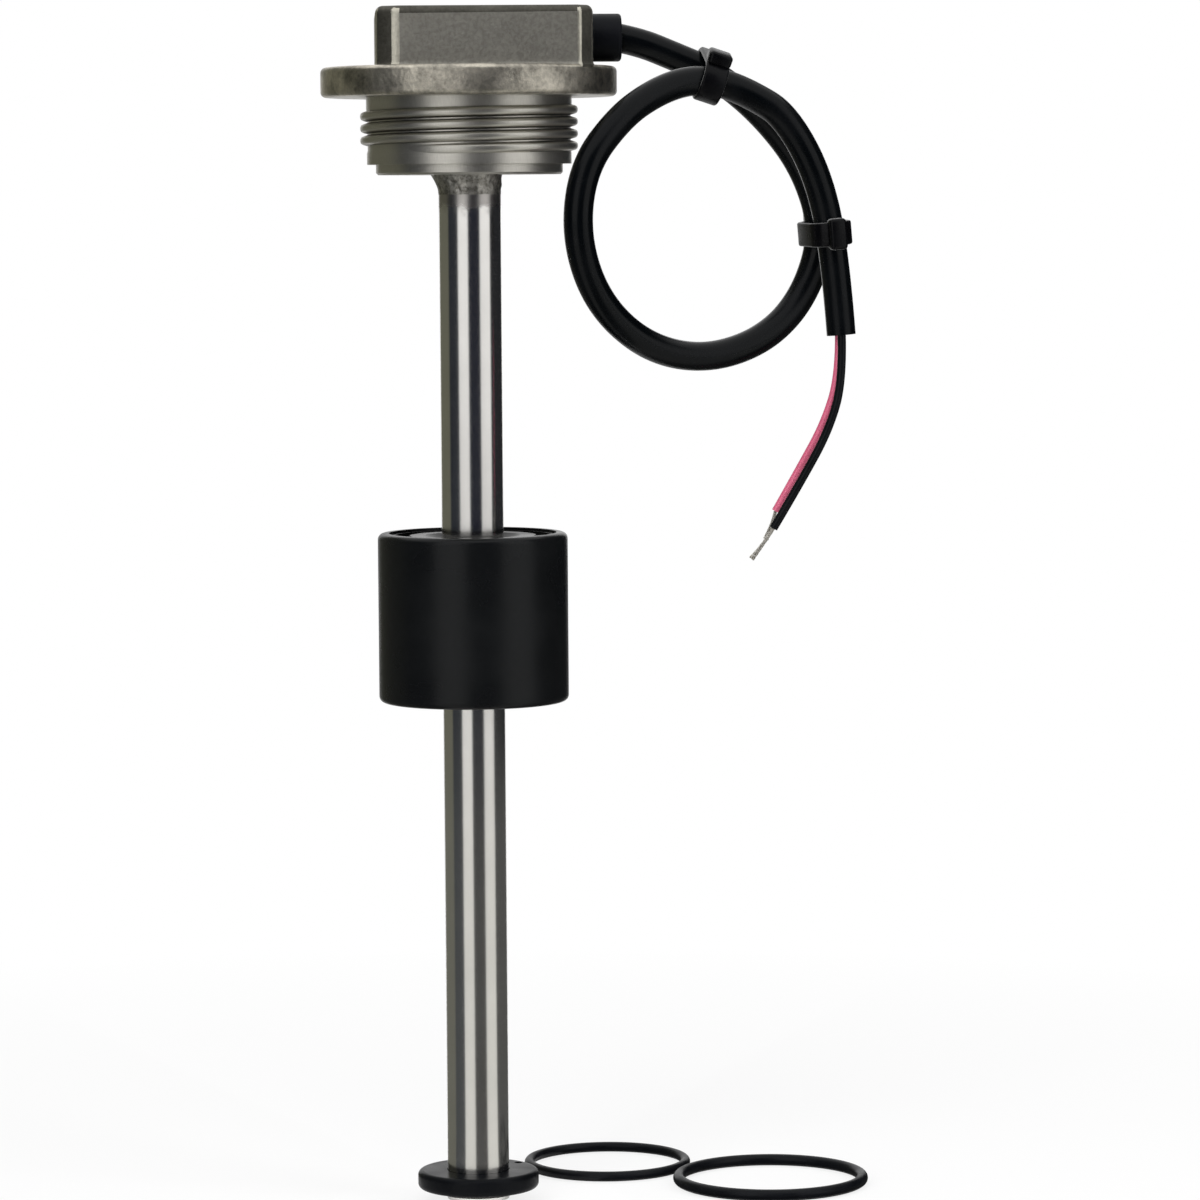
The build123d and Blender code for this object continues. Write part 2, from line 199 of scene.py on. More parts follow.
black_insulation = smooth_compound("core_insulation_black", "#060709", "#0d0e11", 0.34, 0.5, 0.008, 5, 0.14)
pink_insulation = mottled("core_insulation_pink", "#a84a64", "#9c435c", "#ac5069", 0.42, 0.0, 160)
BLACK_RADIUS = 0.00082
PINK_RADIUS = 0.00075
BLACK_ROUTE = [
    (0.0713, -0.00588, -0.0462),
    (0.0715, -0.0059, -0.0550),
    (0.0688, -0.0062, -0.0644),
    (0.0634, -0.0064, -0.0742),
    (0.0579, -0.0063, -0.0834),
]
PINK_ROUTE = [
    (0.0709, -0.0042, -0.0462),
    (0.0709, -0.0042, -0.0542),
    (0.0680, -0.0040, -0.0634),
    (0.0631, -0.0039, -0.0722),
    (0.0585, -0.0042, -0.0802),
]
core_black = routed("core_black", BLACK_ROUTE, BLACK_RADIUS)
core_black.data.materials.append(black_insulation)
core_pink = routed("core_pink", PINK_ROUTE, PINK_RADIUS)
core_pink.data.materials.append(pink_insulation)
for core, node, slot in (
    (core_black, "wire_black", "wire_insulation_black"),
    (core_pink, "wire_pink", "wire_insulation_pink"),
):
    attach(core, "sender")
    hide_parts(node)


# Bare ends: seven tinned copper strands at each core's end, twisted by hand and fanned at the tip.
# The tin gives them a bright grey look with a warm edge.
tinned = mottled("tinned_copper_drawn", "#b9b4aa", "#c9c4ba", "#f2efe8", 0.3, 1.0, 1600)
STRAND_RADIUS = 0.00012
STRAND_LAY = 0.006
STRAND_APART = 0.00023
STRAND_FAN = 0.00024


def line_points(points):
    """Points read along the smooth line with these control points."""
    guide = routed("guide", points, 0.0)
    mesh = bpy.data.meshes.new_from_object(guide)
    read = [v.co.copy() for v in mesh.vertices]
    bpy.data.objects.remove(guide)
    bpy.data.meshes.remove(mesh)
    return read


def strand_bundle(name, route):
    """Seven strands along a route, one in the middle and six twisted round it, wider apart at the tip."""
    read = line_points(route)
    curve = bpy.data.curves.new(name, "CURVE")
    curve.dimensions = "3D"
    curve.bevel_depth = STRAND_RADIUS
    curve.bevel_resolution = 2
    curve.use_fill_caps = True
    for number in range(7):
        strand = curve.splines.new("POLY")
        strand.points.add(len(read) - 1)
        gone = 0.0
        for i, (point, here) in enumerate(zip(strand.points, read)):
            ahead = (read[min(i + 1, len(read) - 1)] - read[max(i - 1, 0)]).normalized()
            side = ahead.cross(Vector((0, 1, 0))).normalized()
            gone += (here - read[max(i - 1, 0)]).length
            turn = 2 * math.pi * (gone / STRAND_LAY + number / 6)
            away = 0.0 if number == 6 else STRAND_APART + STRAND_FAN * (i / (len(read) - 1)) ** 3
            offset = away * (side * math.cos(turn) + side.cross(ahead) * math.sin(turn))
            point.co = (*(here + offset), 1)
    drawn = bpy.data.objects.new(name + "_drawn", curve)
    bundle = bpy.data.objects.new(name, bpy.data.meshes.new_from_object(drawn))
    bpy.data.objects.remove(drawn)
    bpy.context.scene.collection.objects.link(bundle)
    bundle.data.materials.append(tinned)
    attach(bundle, "sender")
    return bundle


for core, route, radius, length, name, node, tip in (
    (
        core_black, BLACK_ROUTE, BLACK_RADIUS, 0.040, "bare_end_black", "strands_black",
        [(0.0560, -0.0063, -0.0864), (0.0536, -0.0065, -0.0892)],
    ),
    (
        core_pink, PINK_ROUTE, PINK_RADIUS, 0.037, "bare_end_pink", "strands_pink",
        [(0.0581, -0.0042, -0.0822), (0.0566, -0.0042, -0.0856)],
    ),
):
    bare_end = strand_bundle(name, [route[-1], *tip])
    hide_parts(node)


# Cable ties: black nylon, injection moulded, each pulled tight round both passes of the loop.
# The lock is a small rounded block, and the cut tail stands out as a smaller one.
tie_nylon = smooth_compound("tie_nylon_moulded", "#030304", "#07080a", 0.28, 0.5, 0.008, 6, 0.14)
TIE_WIDTH = 0.0046
TIE_THICKNESS = 0.0011
TIE_CLEARANCE = 0.00025
TIE_EDGE_ROUND = 0.0004
LOCK_ROUND = 0.0007
TAIL_ROUND = 0.0004
LOCK_IN_FRONT = (0.0044, 0.0026, 0.0046)
TAIL_IN_FRONT = (0.0024, 0.0014, 0.0030)
LOCK_AT_END = (0.0026, 0.0034, 0.0060)
TAIL_AT_END = (0.0012, 0.0030, 0.0030)
LOCK_PROUD = 0.0007
TAIL_BESIDE = 0.0030
TAIL_SUNK = 0.0005
TAIL_ALONG = 0.0032
cable_line = line_points(CABLE_ROUTE)


def finish_piece(name, work, material, smooth_degrees=35):
    """The bmesh as an object that rides on the sender, smooth but for its sharp edges."""
    bmesh.ops.recalc_face_normals(work, faces=work.faces)
    for face in work.faces:
        face.smooth = True
    for edge in work.edges:
        if len(edge.link_faces) == 2 and edge.calc_face_angle() > math.radians(smooth_degrees):
            edge.smooth = False
    mesh = bpy.data.meshes.new(name)
    work.to_mesh(mesh)
    work.free()
    mesh.materials.append(material)
    piece = bpy.data.objects.new(name, mesh)
    bpy.context.scene.collection.objects.link(piece)
    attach(piece, "sender")
    return piece


def add_block(work, size, centre, bevel):
    """A rounded block in the bmesh."""
    place = Matrix.Translation(centre) @ Matrix.Diagonal((*size, 1))
    made = bmesh.ops.create_cube(work, size=1.0, matrix=place)
    edges = list({e for v in made["verts"] for e in v.link_edges})
    bmesh.ops.bevel(work, geom=edges, offset=bevel, segments=3, profile=0.5, affect="EDGES", material=-1)


def cable_tie(name, near, in_front):
    """A band round the two passes nearest to a point, with its lock in front of one pass or at one end."""
    half = len(cable_line) // 2
    passes = []
    for part in (cable_line[:half], cable_line[half:]):
        i = min(range(1, len(part) - 1), key=lambda k: (part[k] - near).length)
        passes.append((part[i], (part[i + 1] - part[i - 1]).normalized()))
    (first, first_way), (second, second_way) = passes
    gap = second - first
    along = (first_way + second_way).normalized()
    across = (gap - along * gap.dot(along)).normalized()
    other = along.cross(across)
    place = Matrix((across, other, along)).transposed().to_4x4()
    place.translation = (first + second) / 2

    work = bmesh.new()
    inner = CABLE_RADIUS + TIE_CLEARANCE
    half_step = Matrix.Rotation(math.pi / 48, 4, "Z")
    for v in bmesh.ops.create_circle(work, segments=48, radius=inner, matrix=half_step)["verts"]:
        v.co.x += math.copysign(gap.length / 2, v.co.x)
        v.co.z = -TIE_WIDTH / 2
    made = bmesh.ops.extrude_edge_only(work, edges=work.edges[:])
    far_edge = [v for v in made["geom"] if isinstance(v, bmesh.types.BMVert)]
    bmesh.ops.translate(work, vec=(0, 0, TIE_WIDTH), verts=far_edge)
    bmesh.ops.recalc_face_normals(work, faces=work.faces)
    band = work.faces[:] + work.edges[:] + work.verts[:]
    bmesh.ops.solidify(work, geom=band, thickness=-TIE_THICKNESS)
    rims = [e for e in work.edges if len(e.link_faces) == 2 and e.calc_face_angle() > 1.2]
    bmesh.ops.bevel(
        work, geom=rims, offset=TIE_EDGE_ROUND, segments=3, profile=0.5, affect="EDGES", material=-1
    )
    front = math.copysign(1, -other.y)
    if in_front:
        lock_x = gap.length / 2
        lock_y = front * (inner + TIE_THICKNESS + LOCK_PROUD)
        add_block(work, LOCK_IN_FRONT, (lock_x, lock_y, 0), LOCK_ROUND)
        add_block(work, TAIL_IN_FRONT, (lock_x - TAIL_BESIDE, lock_y - front * TAIL_SUNK, 0), TAIL_ROUND)
    else:
        lock_x = gap.length / 2 + inner + TIE_THICKNESS
        add_block(work, LOCK_AT_END, (lock_x, 0, 0), LOCK_ROUND)
        add_block(work, TAIL_AT_END, (-lock_x, 0, -TAIL_ALONG), TAIL_ROUND)
    bmesh.ops.transform(work, matrix=place, verts=work.verts)
    piece = finish_piece(name, work, tie_nylon)
    return piece


tie_top = cable_tie("cable_tie_upper", Vector((0.0447, -0.0055, 0.0036)), True)
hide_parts("tie_upper")
tie_side = cable_tie("cable_tie_lower", Vector((0.0676, -0.0022, -0.0268)), False)
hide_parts("tie_lower")


# Head casting: stainless steel, investment cast and blasted, then turned below its flange.
# The block keeps a fine sandy skin, with a painted highlight on its rounded corners and painted shade on its
# cut corners and top round, and the spigot has turning marks.
# The block stands 2.6 mm off the flange's middle, so the piece is made from two cuts of the CAD head.
def cast_steel(name, dark, light, patches_mm, roughness, grain_mix=0.4):
    """Blasted casting: a sandy grain over dull and bright patches. It is drawn 0.7 mm coarse, to show."""
    made, tree, shader, place = start_material(name, light, roughness, 1.0)
    cloud, grain = [
        add_node(tree, "TexNoise", {"Vector": place, "Scale": 1000 / mm, "Detail": 3, "Roughness": rough})
        for mm, rough in ((patches_mm, 0.6), (0.7, 0.65))
    ]
    cloud_share, grain_share = [
        add_node(tree, "MapRange", {"Value": spots.outputs["Fac"], "From Min": low, "From Max": high})
        for spots, low, high in ((cloud, 0.35, 0.66), (grain, 0.38, 0.62))
    ]
    share = add_node(
        tree, "Mix", {0: grain_mix, 2: cloud_share.outputs["Result"], 3: grain_share.outputs["Result"]}
    )
    shade = add_node(
        tree, "Mix", {0: share.outputs[0], 6: linear(dark), 7: linear(light)}, data_type="RGBA"
    )
    tree.links.new(shade.outputs[2], shader.inputs["Base Color"])
    swell = add_node(tree, "TexNoise", {"Vector": place, "Scale": 330, "Detail": 2})
    swell_bump = add_node(
        tree, "Bump", {"Height": swell.outputs["Fac"], "Distance": 0.00025, "Strength": 0.5}
    )
    grain_bump = add_node(
        tree,
        "Bump",
        {
            "Height": grain.outputs["Fac"],
            "Distance": 0.00009,
            "Strength": 0.8,
            "Normal": swell_bump.outputs["Normal"],
        },
    )
    tree.links.new(grain_bump.outputs["Normal"], shader.inputs["Normal"])
    return made


def turned_steel(name, root_shade):
    """Turned surface: rings at the tool's feed of 0.3 mm, dull and bright bands, and painted shade towards
    the thread's roots.
    """
    made, tree, shader, place = start_material(name, "#cdcac1", 0.36, 1.0)
    ringed = add_node(tree, "Mapping", {"Vector": place, "Scale": (30, 30, 1)})
    bands = add_node(tree, "TexNoise", {"Vector": ringed.outputs["Vector"], "Scale": 900, "Detail": 4})
    bands_mix = add_node(
        tree, "Mix", {0: bands.outputs["Fac"], 6: linear("#b1aea6"), 7: linear("#e8e5dc")}, data_type="RGBA"
    )
    across = add_node(tree, "VectorMath", {0: place, 1: (1, 1, 0)}, operation="MULTIPLY")
    radius = add_node(tree, "VectorMath", {0: across.outputs["Vector"]}, operation="LENGTH")
    # Painted shade: the thread's flanks darken towards the roots, below the crest.
    below_crest = {"Value": radius.outputs["Value"], "From Min": 0.0205, "From Max": 0.0201, "To Max": root_shade}
    low = add_node(tree, "MapRange", below_crest)
    root_shaded = add_node(
        tree,
        "Mix",
        {0: low.outputs["Result"], 6: bands_mix.outputs[2], 7: linear("#3a372f")},
        data_type="RGBA",
    )
    tree.links.new(root_shaded.outputs[2], shader.inputs["Base Color"])
    rings = add_node(
        tree,
        "TexWave",
        {"Vector": place, "Scale": 1000 / 0.3 / 6.2832, "Distortion": 0.6},
        wave_type="BANDS",
        bands_direction="Z",
    )
    bump = add_node(tree, "Bump", {"Height": rings.outputs["Fac"], "Distance": 0.00001, "Strength": 0.5})
    tree.links.new(bump.outputs["Normal"], shader.inputs["Normal"])
    return made


# The blasted skin, the flange's handled rim, a painted highlight for the rounded corners and painted shade
# for the cuts and round beside them, then the plain turned surface and the thread with painted shade in its
# roots.
stainless_cast = cast_steel("stainless_cast_blasted", "#9a978f", "#b4b1a8", 9, 0.5, 0.65)
stainless_rim = cast_steel("stainless_cast_rim", "#87837a", "#ebe4d4", 6, 0.38, 0.25)
stainless_painted_highlight = cast_steel("stainless_cast_painted_highlight", "#c9c5b6", "#e6e2d3", 5, 0.42)
stainless_painted_shade = cast_steel("stainless_cast_painted_shade", "#57554f", "#716f67", 6, 0.6)
stainless_turned = turned_steel("stainless_turned", 0.0)
stainless_threaded = turned_steel("stainless_thread_cut", 0.6)
head_materials = (stainless_cast, stainless_turned, stainless_rim, stainless_painted_highlight, stainless_painted_shade)
THREAD_ROOT = 0.01955
THREAD_WALL_RADIUS = 0.0208
THREAD_WALL_FROM = -0.0104
THREAD_WALL_TO = -0.0028
FLANGE_TOP = 0.0057
FLANGE_ROUND = 0.001
RIM_RADIUS = 0.0274
BLOCK_CUT = FLANGE_TOP + 0.00105
BLOCK_FOOT = FLANGE_TOP - 0.0005
BLOCK_HALF = 0.0205
BLOCK_SHIFT = 0.0026
BLOCK_WIDER = 1.005
BLOCK_SHALLOWER = 0.93
HOLLOW_RADIUS = 0.0135
CORNER_FROM = 0.0168
CORNER_TOP = 0.0164
CORNER_RADIUS = 0.0250
HIGHLIGHT_STRIP_TO = 0.0182
TOP_ROUND_FROM = 0.0155
TOP_ROUND_TO = 0.01689
LEFT_CORNER_SPREAD = 0.0011
LEFT_CORNER_REACH = 0.0035
RIGHT_CORNER_SHARE = 0.86


def open_loops(work):
    """The open rims of the bmesh, outermost first, each a list of its edges."""
    left = {e for e in work.edges if e.is_boundary}
    loops = []
    while left:
        loop = [left.pop()]
        for edge in loop:
            near = [e for v in edge.verts for e in v.link_edges if e in left]
            loop += near
            left.difference_update(near)
        loops.append(loop)
    return sorted(loops, key=lambda loop: -max(v.co.xy.length for e in loop for v in e.verts))


def drawn_out(work, loop, places):
    """The rim drawn out ring by ring, each place a change of radius about the ring's middle and a height."""
    middle = sum((v.co.xy for e in loop for v in e.verts), Vector((0, 0))) / (2 * len(loop))
    reach = max((v.co.xy - middle).length for e in loop for v in e.verts)
    for widen, height in places:
        made = bmesh.ops.extrude_edge_only(work, edges=loop)["geom"]
        for v in made:
            if isinstance(v, bmesh.types.BMVert):
                v.co.xy = middle + (v.co.xy - middle) * (reach + widen) / reach
                v.co.z = height
        loop = [e for e in made if isinstance(e, bmesh.types.BMEdge) and e.is_boundary]
        reach += widen
    return loop


def head_part(cut, keep_below):
    """A merged copy of the CAD head on one side of a level cut, left open there."""
    work = bmesh.new()
    work.from_mesh(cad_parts["head_casting"].data)
    bmesh.ops.remove_doubles(work, verts=work.verts, dist=1e-6)
    bmesh.ops.bisect_plane(
        work,
        geom=work.verts[:] + work.edges[:] + work.faces[:],
        plane_co=(0, 0, cut),
        plane_no=(0, 0, 1),
        clear_outer=keep_below,
        clear_inner=not keep_below,
    )
    bmesh.ops.dissolve_degenerate(work, edges=work.edges[:], dist=1e-7)
    return work


head_work = head_part(FLANGE_TOP - FLANGE_ROUND, True)
outer, inner = open_loops(head_work)
steps = [math.radians(15 * i) for i in range(7)]
rim_round = [
    (FLANGE_ROUND * (math.cos(b) - math.cos(a)), FLANGE_TOP - FLANGE_ROUND * (1 - math.sin(b)))
    for a, b in zip(steps, steps[1:])
]
outer = drawn_out(head_work, outer, rim_round)
inner = drawn_out(head_work, inner, [(0.0, FLANGE_TOP)])
bmesh.ops.bridge_loops(head_work, edges=outer + inner)
for v in head_work.verts:
    radius = math.hypot(v.co.x, v.co.y)
    if radius > THREAD_WALL_RADIUS and THREAD_WALL_FROM < v.co.z < THREAD_WALL_TO:
        v.co.x *= THREAD_ROOT / radius
        v.co.y *= THREAD_ROOT / radius
for face in head_work.faces:
    middle = face.calc_center_median()
    if middle.z < 0.00002 and (middle.z < -0.00002 or face.normal.z < -0.9):
        face.material_index = head_materials.index(stainless_turned)
    elif middle.xy.length > RIM_RADIUS:
        face.material_index = head_materials.index(stainless_rim)

block_work = head_part(BLOCK_CUT, False)
# Painted shade on the block's 45-degree cut corners and on its top round, and a painted highlight on the
# rounded strips beside the cuts.
for face in block_work.faces:
    middle = face.calc_center_median()
    if middle.z < CORNER_TOP and middle.xy.length > CORNER_RADIUS:
        if abs(abs(face.normal.x) - abs(face.normal.y)) < 0.1:
            face.material_index = head_materials.index(stainless_painted_shade)
        elif min(abs(middle.x), abs(middle.y)) < HIGHLIGHT_STRIP_TO:
            face.material_index = head_materials.index(stainless_painted_highlight)
    elif TOP_ROUND_FROM < middle.z < TOP_ROUND_TO:
        face.material_index = head_materials.index(stainless_painted_shade)
for v in block_work.verts:
    if v.co.xy.length < HOLLOW_RADIUS:
        continue
    if v.co.x < -CORNER_FROM and abs(v.co.y) > CORNER_FROM:
        inward = (v.co.x + BLOCK_HALF) / LEFT_CORNER_REACH
        v.co.x += LEFT_CORNER_SPREAD * max(0.0, min(1.0, inward)) ** 3
    elif v.co.x > CORNER_FROM and abs(v.co.y) > CORNER_FROM:
        v.co.x = BLOCK_HALF - (BLOCK_HALF - v.co.x) * RIGHT_CORNER_SHARE
    v.co.x = v.co.x * BLOCK_WIDER + BLOCK_SHIFT
    v.co.y *= BLOCK_SHALLOWER
outer, inner = open_loops(block_work)
foot = [(0.00003, 0.0063), (0.0001, 0.00595), (0.0002, FLANGE_TOP), (0.0, BLOCK_FOOT)]
outer = drawn_out(block_work, outer, foot)
inner = drawn_out(block_work, inner, [(0.0, BLOCK_FOOT)])
bmesh.ops.bridge_loops(block_work, edges=outer + inner)
bmesh.ops.recalc_face_normals(block_work, faces=block_work.faces)
block_mesh = bpy.data.meshes.new("block")
block_work.to_mesh(block_mesh)
block_work.free()
head_work.from_mesh(block_mesh)
bpy.data.meshes.remove(block_mesh)
head = finish_piece("head", head_work, stainless_cast, 25)
for material in head_materials[1:]:
    head.data.materials.append(material)
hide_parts("head_casting")

# Pipe thread: cut on the spigot with a single-point tool, right-handed, eleven turns to the inch.
# It starts under the neck at the back and runs out at the front left, over the land.
THREAD_CREST = 0.020955
THREAD_PITCH = 0.002309
THREAD_STEPS = 96
THREAD_TOP = -0.0025
THREAD_FROM = 70
THREAD_TO = -1215
START_FADE = 18
END_FADE = 22
profile = [
    (THREAD_ROOT - 0.00015, 0.00112),
    (THREAD_ROOT + 0.00002, 0.00104),
    (THREAD_CREST - 0.00048, 0.00078),
    (THREAD_CREST - 0.00014, 0.00056),
    (THREAD_CREST, 0.00022),
    (THREAD_CREST, -0.00022),
    (THREAD_CREST - 0.00014, -0.00056),
    (THREAD_CREST - 0.00048, -0.00078),
    (THREAD_ROOT + 0.00002, -0.00104),
    (THREAD_ROOT - 0.00015, -0.00112),
]
thread_work = bmesh.new()
start_z = THREAD_TOP + THREAD_PITCH * THREAD_FROM / 360
corners = [thread_work.verts.new((r, 0, start_z + z)) for r, z in profile]
outline = [thread_work.edges.new(pair) for pair in zip(corners, corners[1:] + corners[:1])]
start_turn = Matrix.Rotation(math.radians(THREAD_FROM), 3, "Z")
bmesh.ops.rotate(thread_work, cent=(0, 0, 0), matrix=start_turn, verts=corners)
turn_steps = round((THREAD_FROM - THREAD_TO) * THREAD_STEPS / 360)
bmesh.ops.spin(
    thread_work,
    geom=corners + outline,
    cent=(0, 0, 0),
    axis=(0, 0, 1),
    dvec=(0, 0, -THREAD_PITCH / THREAD_STEPS),
    angle=math.radians(THREAD_TO - THREAD_FROM),
    steps=turn_steps,
    use_duplicate=False,
)
thread_work.verts.ensure_lookup_table()
for i, v in enumerate(thread_work.verts):
    step = i // len(profile)
    fade = min(1.0, step / START_FADE, (turn_steps - step) / END_FADE)
    radius = math.hypot(v.co.x, v.co.y)
    low = profile[0][0]
    scale = (low + (radius - low) * fade) / radius
    v.co.x *= scale
    v.co.y *= scale
thread_work.verts.index_update()
# The full turns take the thread's material with painted shade in the roots; the faded ends take the plain
# turned one.
for face in thread_work.faces:
    step = min(v.index for v in face.verts) // len(profile)
    face.material_index = 1 if step < START_FADE or step > turn_steps - END_FADE else 0
bmesh.ops.holes_fill(thread_work, edges=[e for e in thread_work.edges if e.is_boundary], sides=0)
thread = finish_piece("head_thread", thread_work, stainless_threaded, 40)
thread.data.materials.append(stainless_turned)

# Weld bead: stem to spigot, laid by hand with a tungsten torch, heavier on one side.
# Its surface is a row of small overlapping ripples, dull grey from the heat.
weld_metal, weld_tree, weld_shader, weld_place = start_material("weld_bead_as_laid", "#8d8a82", 0.42, 1.0)
scale_noise = add_node(
    weld_tree, "TexNoise", {"Vector": weld_place, "Scale": 1100, "Detail": 5, "Roughness": 0.7}
)
scale_share = add_node(
    weld_tree, "MapRange", {"Value": scale_noise.outputs["Fac"], "From Min": 0.38, "From Max": 0.62}
)
scale_mix = add_node(
    weld_tree,
    "Mix",
    {0: scale_share.outputs["Result"], 6: linear("#827f79"), 7: linear("#c8c5be")},
    data_type="RGBA",
)
weld_tree.links.new(scale_mix.outputs[2], weld_shader.inputs["Base Color"])
weld_bump = add_node(
    weld_tree, "Bump", {"Height": scale_noise.outputs["Fac"], "Distance": 0.00014, "Strength": 0.7}
)
weld_tree.links.new(weld_bump.outputs["Normal"], weld_shader.inputs["Normal"])

WELD_TOP = -0.0149
WELD_LENGTH = 0.0038
WELD_BORE = 0.00598
WELD_TOE = 0.00603
WELD_SPREAD = 0.00087
WELD_LEAN = 0.00062
WELD_RINGS = 16
RIPPLES_ROUND = 34
RIPPLE_DEPTH = 0.00006
LUMP_DEPTH = 0.00022
weld_work = bmesh.new()
loops = []
for step in range(WELD_RINGS + 1):
    share = step / WELD_RINGS
    swell = (1 - share) ** 2
    made = bmesh.ops.create_circle(
        weld_work,
        segments=96,
        radius=WELD_TOE + WELD_SPREAD * swell,
        matrix=Matrix.Translation((-WELD_LEAN * swell, 0, WELD_TOP - WELD_LENGTH * share)),
    )
    loops.append(made["verts"])
for height in (WELD_TOP - WELD_LENGTH, WELD_TOP):
    made = bmesh.ops.create_circle(
        weld_work, segments=96, radius=WELD_BORE, matrix=Matrix.Translation((0, 0, height))
    )
    loops.append(made["verts"])
rims = [list({e for v in loop for e in v.link_edges}) for loop in loops]
for above, below in zip(rims, rims[1:] + rims[:1]):
    bmesh.ops.bridge_loops(weld_work, edges=above + below)
for loop in loops[1:WELD_RINGS]:
    for v in loop:
        bearing = math.atan2(v.co.y, v.co.x)
        depth = (WELD_TOP - v.co.z) / WELD_LENGTH
        ripple = RIPPLE_DEPTH * math.sin(RIPPLES_ROUND * bearing + 3.0 * math.cos(2.2 * (depth - 0.5)))
        lumps = LUMP_DEPTH * noise.noise(v.co * 800)
        push = (ripple + lumps) * math.sin(math.pi * depth)
        v.co.x += push * math.cos(bearing)
        v.co.y += push * math.sin(bearing)
weld = finish_piece("weld", weld_work, weld_metal, 60)
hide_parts("weld_bead")


# Stem: drawn stainless tube, polished along its length, let into the head and welded.
# It mirrors the white room and the screens in long bands, and the weld's heat dulls its top to a pale grey.
# The fine lines along it are drawn coarser than on a real tube, so that they show.
def give(material, *nodes):
    """The material on every slot of these CAD nodes."""
    for node in nodes:
        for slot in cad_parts[node].material_slots:
            slot.material = material


stem_steel, stem_tree, stem_shader, stem_place = start_material(
    "stainless_drawn_polished", "#cfcdc8", 0.17, 1.0
)
stem_high = add_node(stem_tree, "SeparateXYZ", {"Vector": stem_place})
stem_patch = add_node(stem_tree, "TexNoise", {"Vector": stem_place, "Scale": 90, "Detail": 3})
heat_ragged = add_node(stem_tree, "TexNoise", {"Vector": stem_place, "Scale": 600, "Detail": 4})
heat_edge = add_node(
    stem_tree,
    "Math",
    {0: heat_ragged.outputs["Fac"], 1: 0.004, 2: stem_high.outputs["Z"]},
    operation="MULTIPLY_ADD",
)
heat = add_node(
    stem_tree,
    "MapRange",
    {"Value": heat_edge.outputs[0], "From Min": -0.0206, "From Max": -0.0180},
    interpolation_type="SMOOTHSTEP",
)
stem_mix = add_node(
    stem_tree,
    "Mix",
    {0: stem_patch.outputs["Fac"], 6: linear("#dedcd8"), 7: linear("#f1efeb")},
    data_type="RGBA",
)
heat_mix = add_node(
    stem_tree,
    "Mix",
    {0: heat.outputs["Result"], 6: stem_mix.outputs[2], 7: linear("#b8b4b0")},
    data_type="RGBA",
)
stem_tree.links.new(heat_mix.outputs[2], stem_shader.inputs["Base Color"])
heat_dull = add_node(stem_tree, "MapRange", {"Value": heat.outputs["Result"], "To Min": 0.17, "To Max": 0.3})
stem_tree.links.new(heat_dull.outputs["Result"], stem_shader.inputs["Roughness"])
drawn = add_node(stem_tree, "Mapping", {"Vector": stem_place, "Scale": (1, 1, 0.02)})
drawn_lines = add_node(stem_tree, "TexNoise", {"Vector": drawn.outputs["Vector"], "Scale": 2200, "Detail": 3})
stem_bump = add_node(
    stem_tree, "Bump", {"Height": drawn_lines.outputs["Fac"], "Distance": 0.000008, "Strength": 0.35}
)
stem_tree.links.new(stem_bump.outputs["Normal"], stem_shader.inputs["Normal"])
give(stem_steel, "stem_tube", "stem_end_plug")

# Float: two mouldings of black polypropylene, a cup and a lid let into its rim, sealed by heat.
# The moulds were spark-eroded, which leaves an even matt grain. A sintered ring magnet sits inside.
float_plastic = smooth_compound(
    "polypropylene_moulded_grained", "#08090a", "#0d0e0f", 0.28, 0.45, 0.012, 12, 0.19
)
give(float_plastic, "float_shell", "float_cap")
ferrite = smooth_compound("ferrite_sintered", "#2a2a2c", "#3a3a3c", 0.6, 0.3, 0.03, 4)
give(ferrite, "float_magnet")

# Stop and clip: a moulded acetal disc on the tube, held up by an open clip of spring steel in a groove.
# The disc is smoother than the float, and the clip is phosphated dark grey.
stop_plastic = smooth_compound("acetal_moulded", "#08090b", "#0d0e11", 0.3, 0.6, 0.01, 7, 0.07)
give(stop_plastic, "float_stop")
spring_steel = mottled("spring_steel_phosphated", "#4c4b49", "#3a3937", "#625f5b", 0.45, 1.0, 2500)
give(spring_steel, "stop_clip")

# Cable boot: black chloroprene moulded on the cable's end and pressed into the block's side.
# It is softer and duller than the jacket. A copy of the CAD boot goes with the block and is drawn longer.
boot_rubber = smooth_compound("chloroprene_moulded", "#06070a", "#0b0c10", 0.42, 0.5, 0.015, 6, 0.12)
BOOT_FREE_FROM = 0.0200
BOOT_END_FROM = 0.0240
BOOT_LONGER = 0.0009
boot_work = bmesh.new()
boot_work.from_mesh(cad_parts["cable_boot"].data)
bmesh.ops.remove_doubles(boot_work, verts=boot_work.verts, dist=1e-6)
for v in boot_work.verts:
    if v.co.x > BOOT_FREE_FROM:
        v.co.x += BLOCK_SHIFT + (BOOT_LONGER if v.co.x > BOOT_END_FROM else 0.0)
boot = finish_piece("boot", boot_work, boot_rubber)
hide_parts("cable_boot")

# Seal rings: two of moulded nitrile, taken off and laid beside the stem's tip.
# The rubber is a soft black with a slight bloom.
seal_rubber = smooth_compound("nitrile_moulded", "#07080b", "#0d0e12", 0.36, 0.5, 0.01, 5, 0.16)
give(seal_rubber, "seal_ring_small", "seal_ring_large")

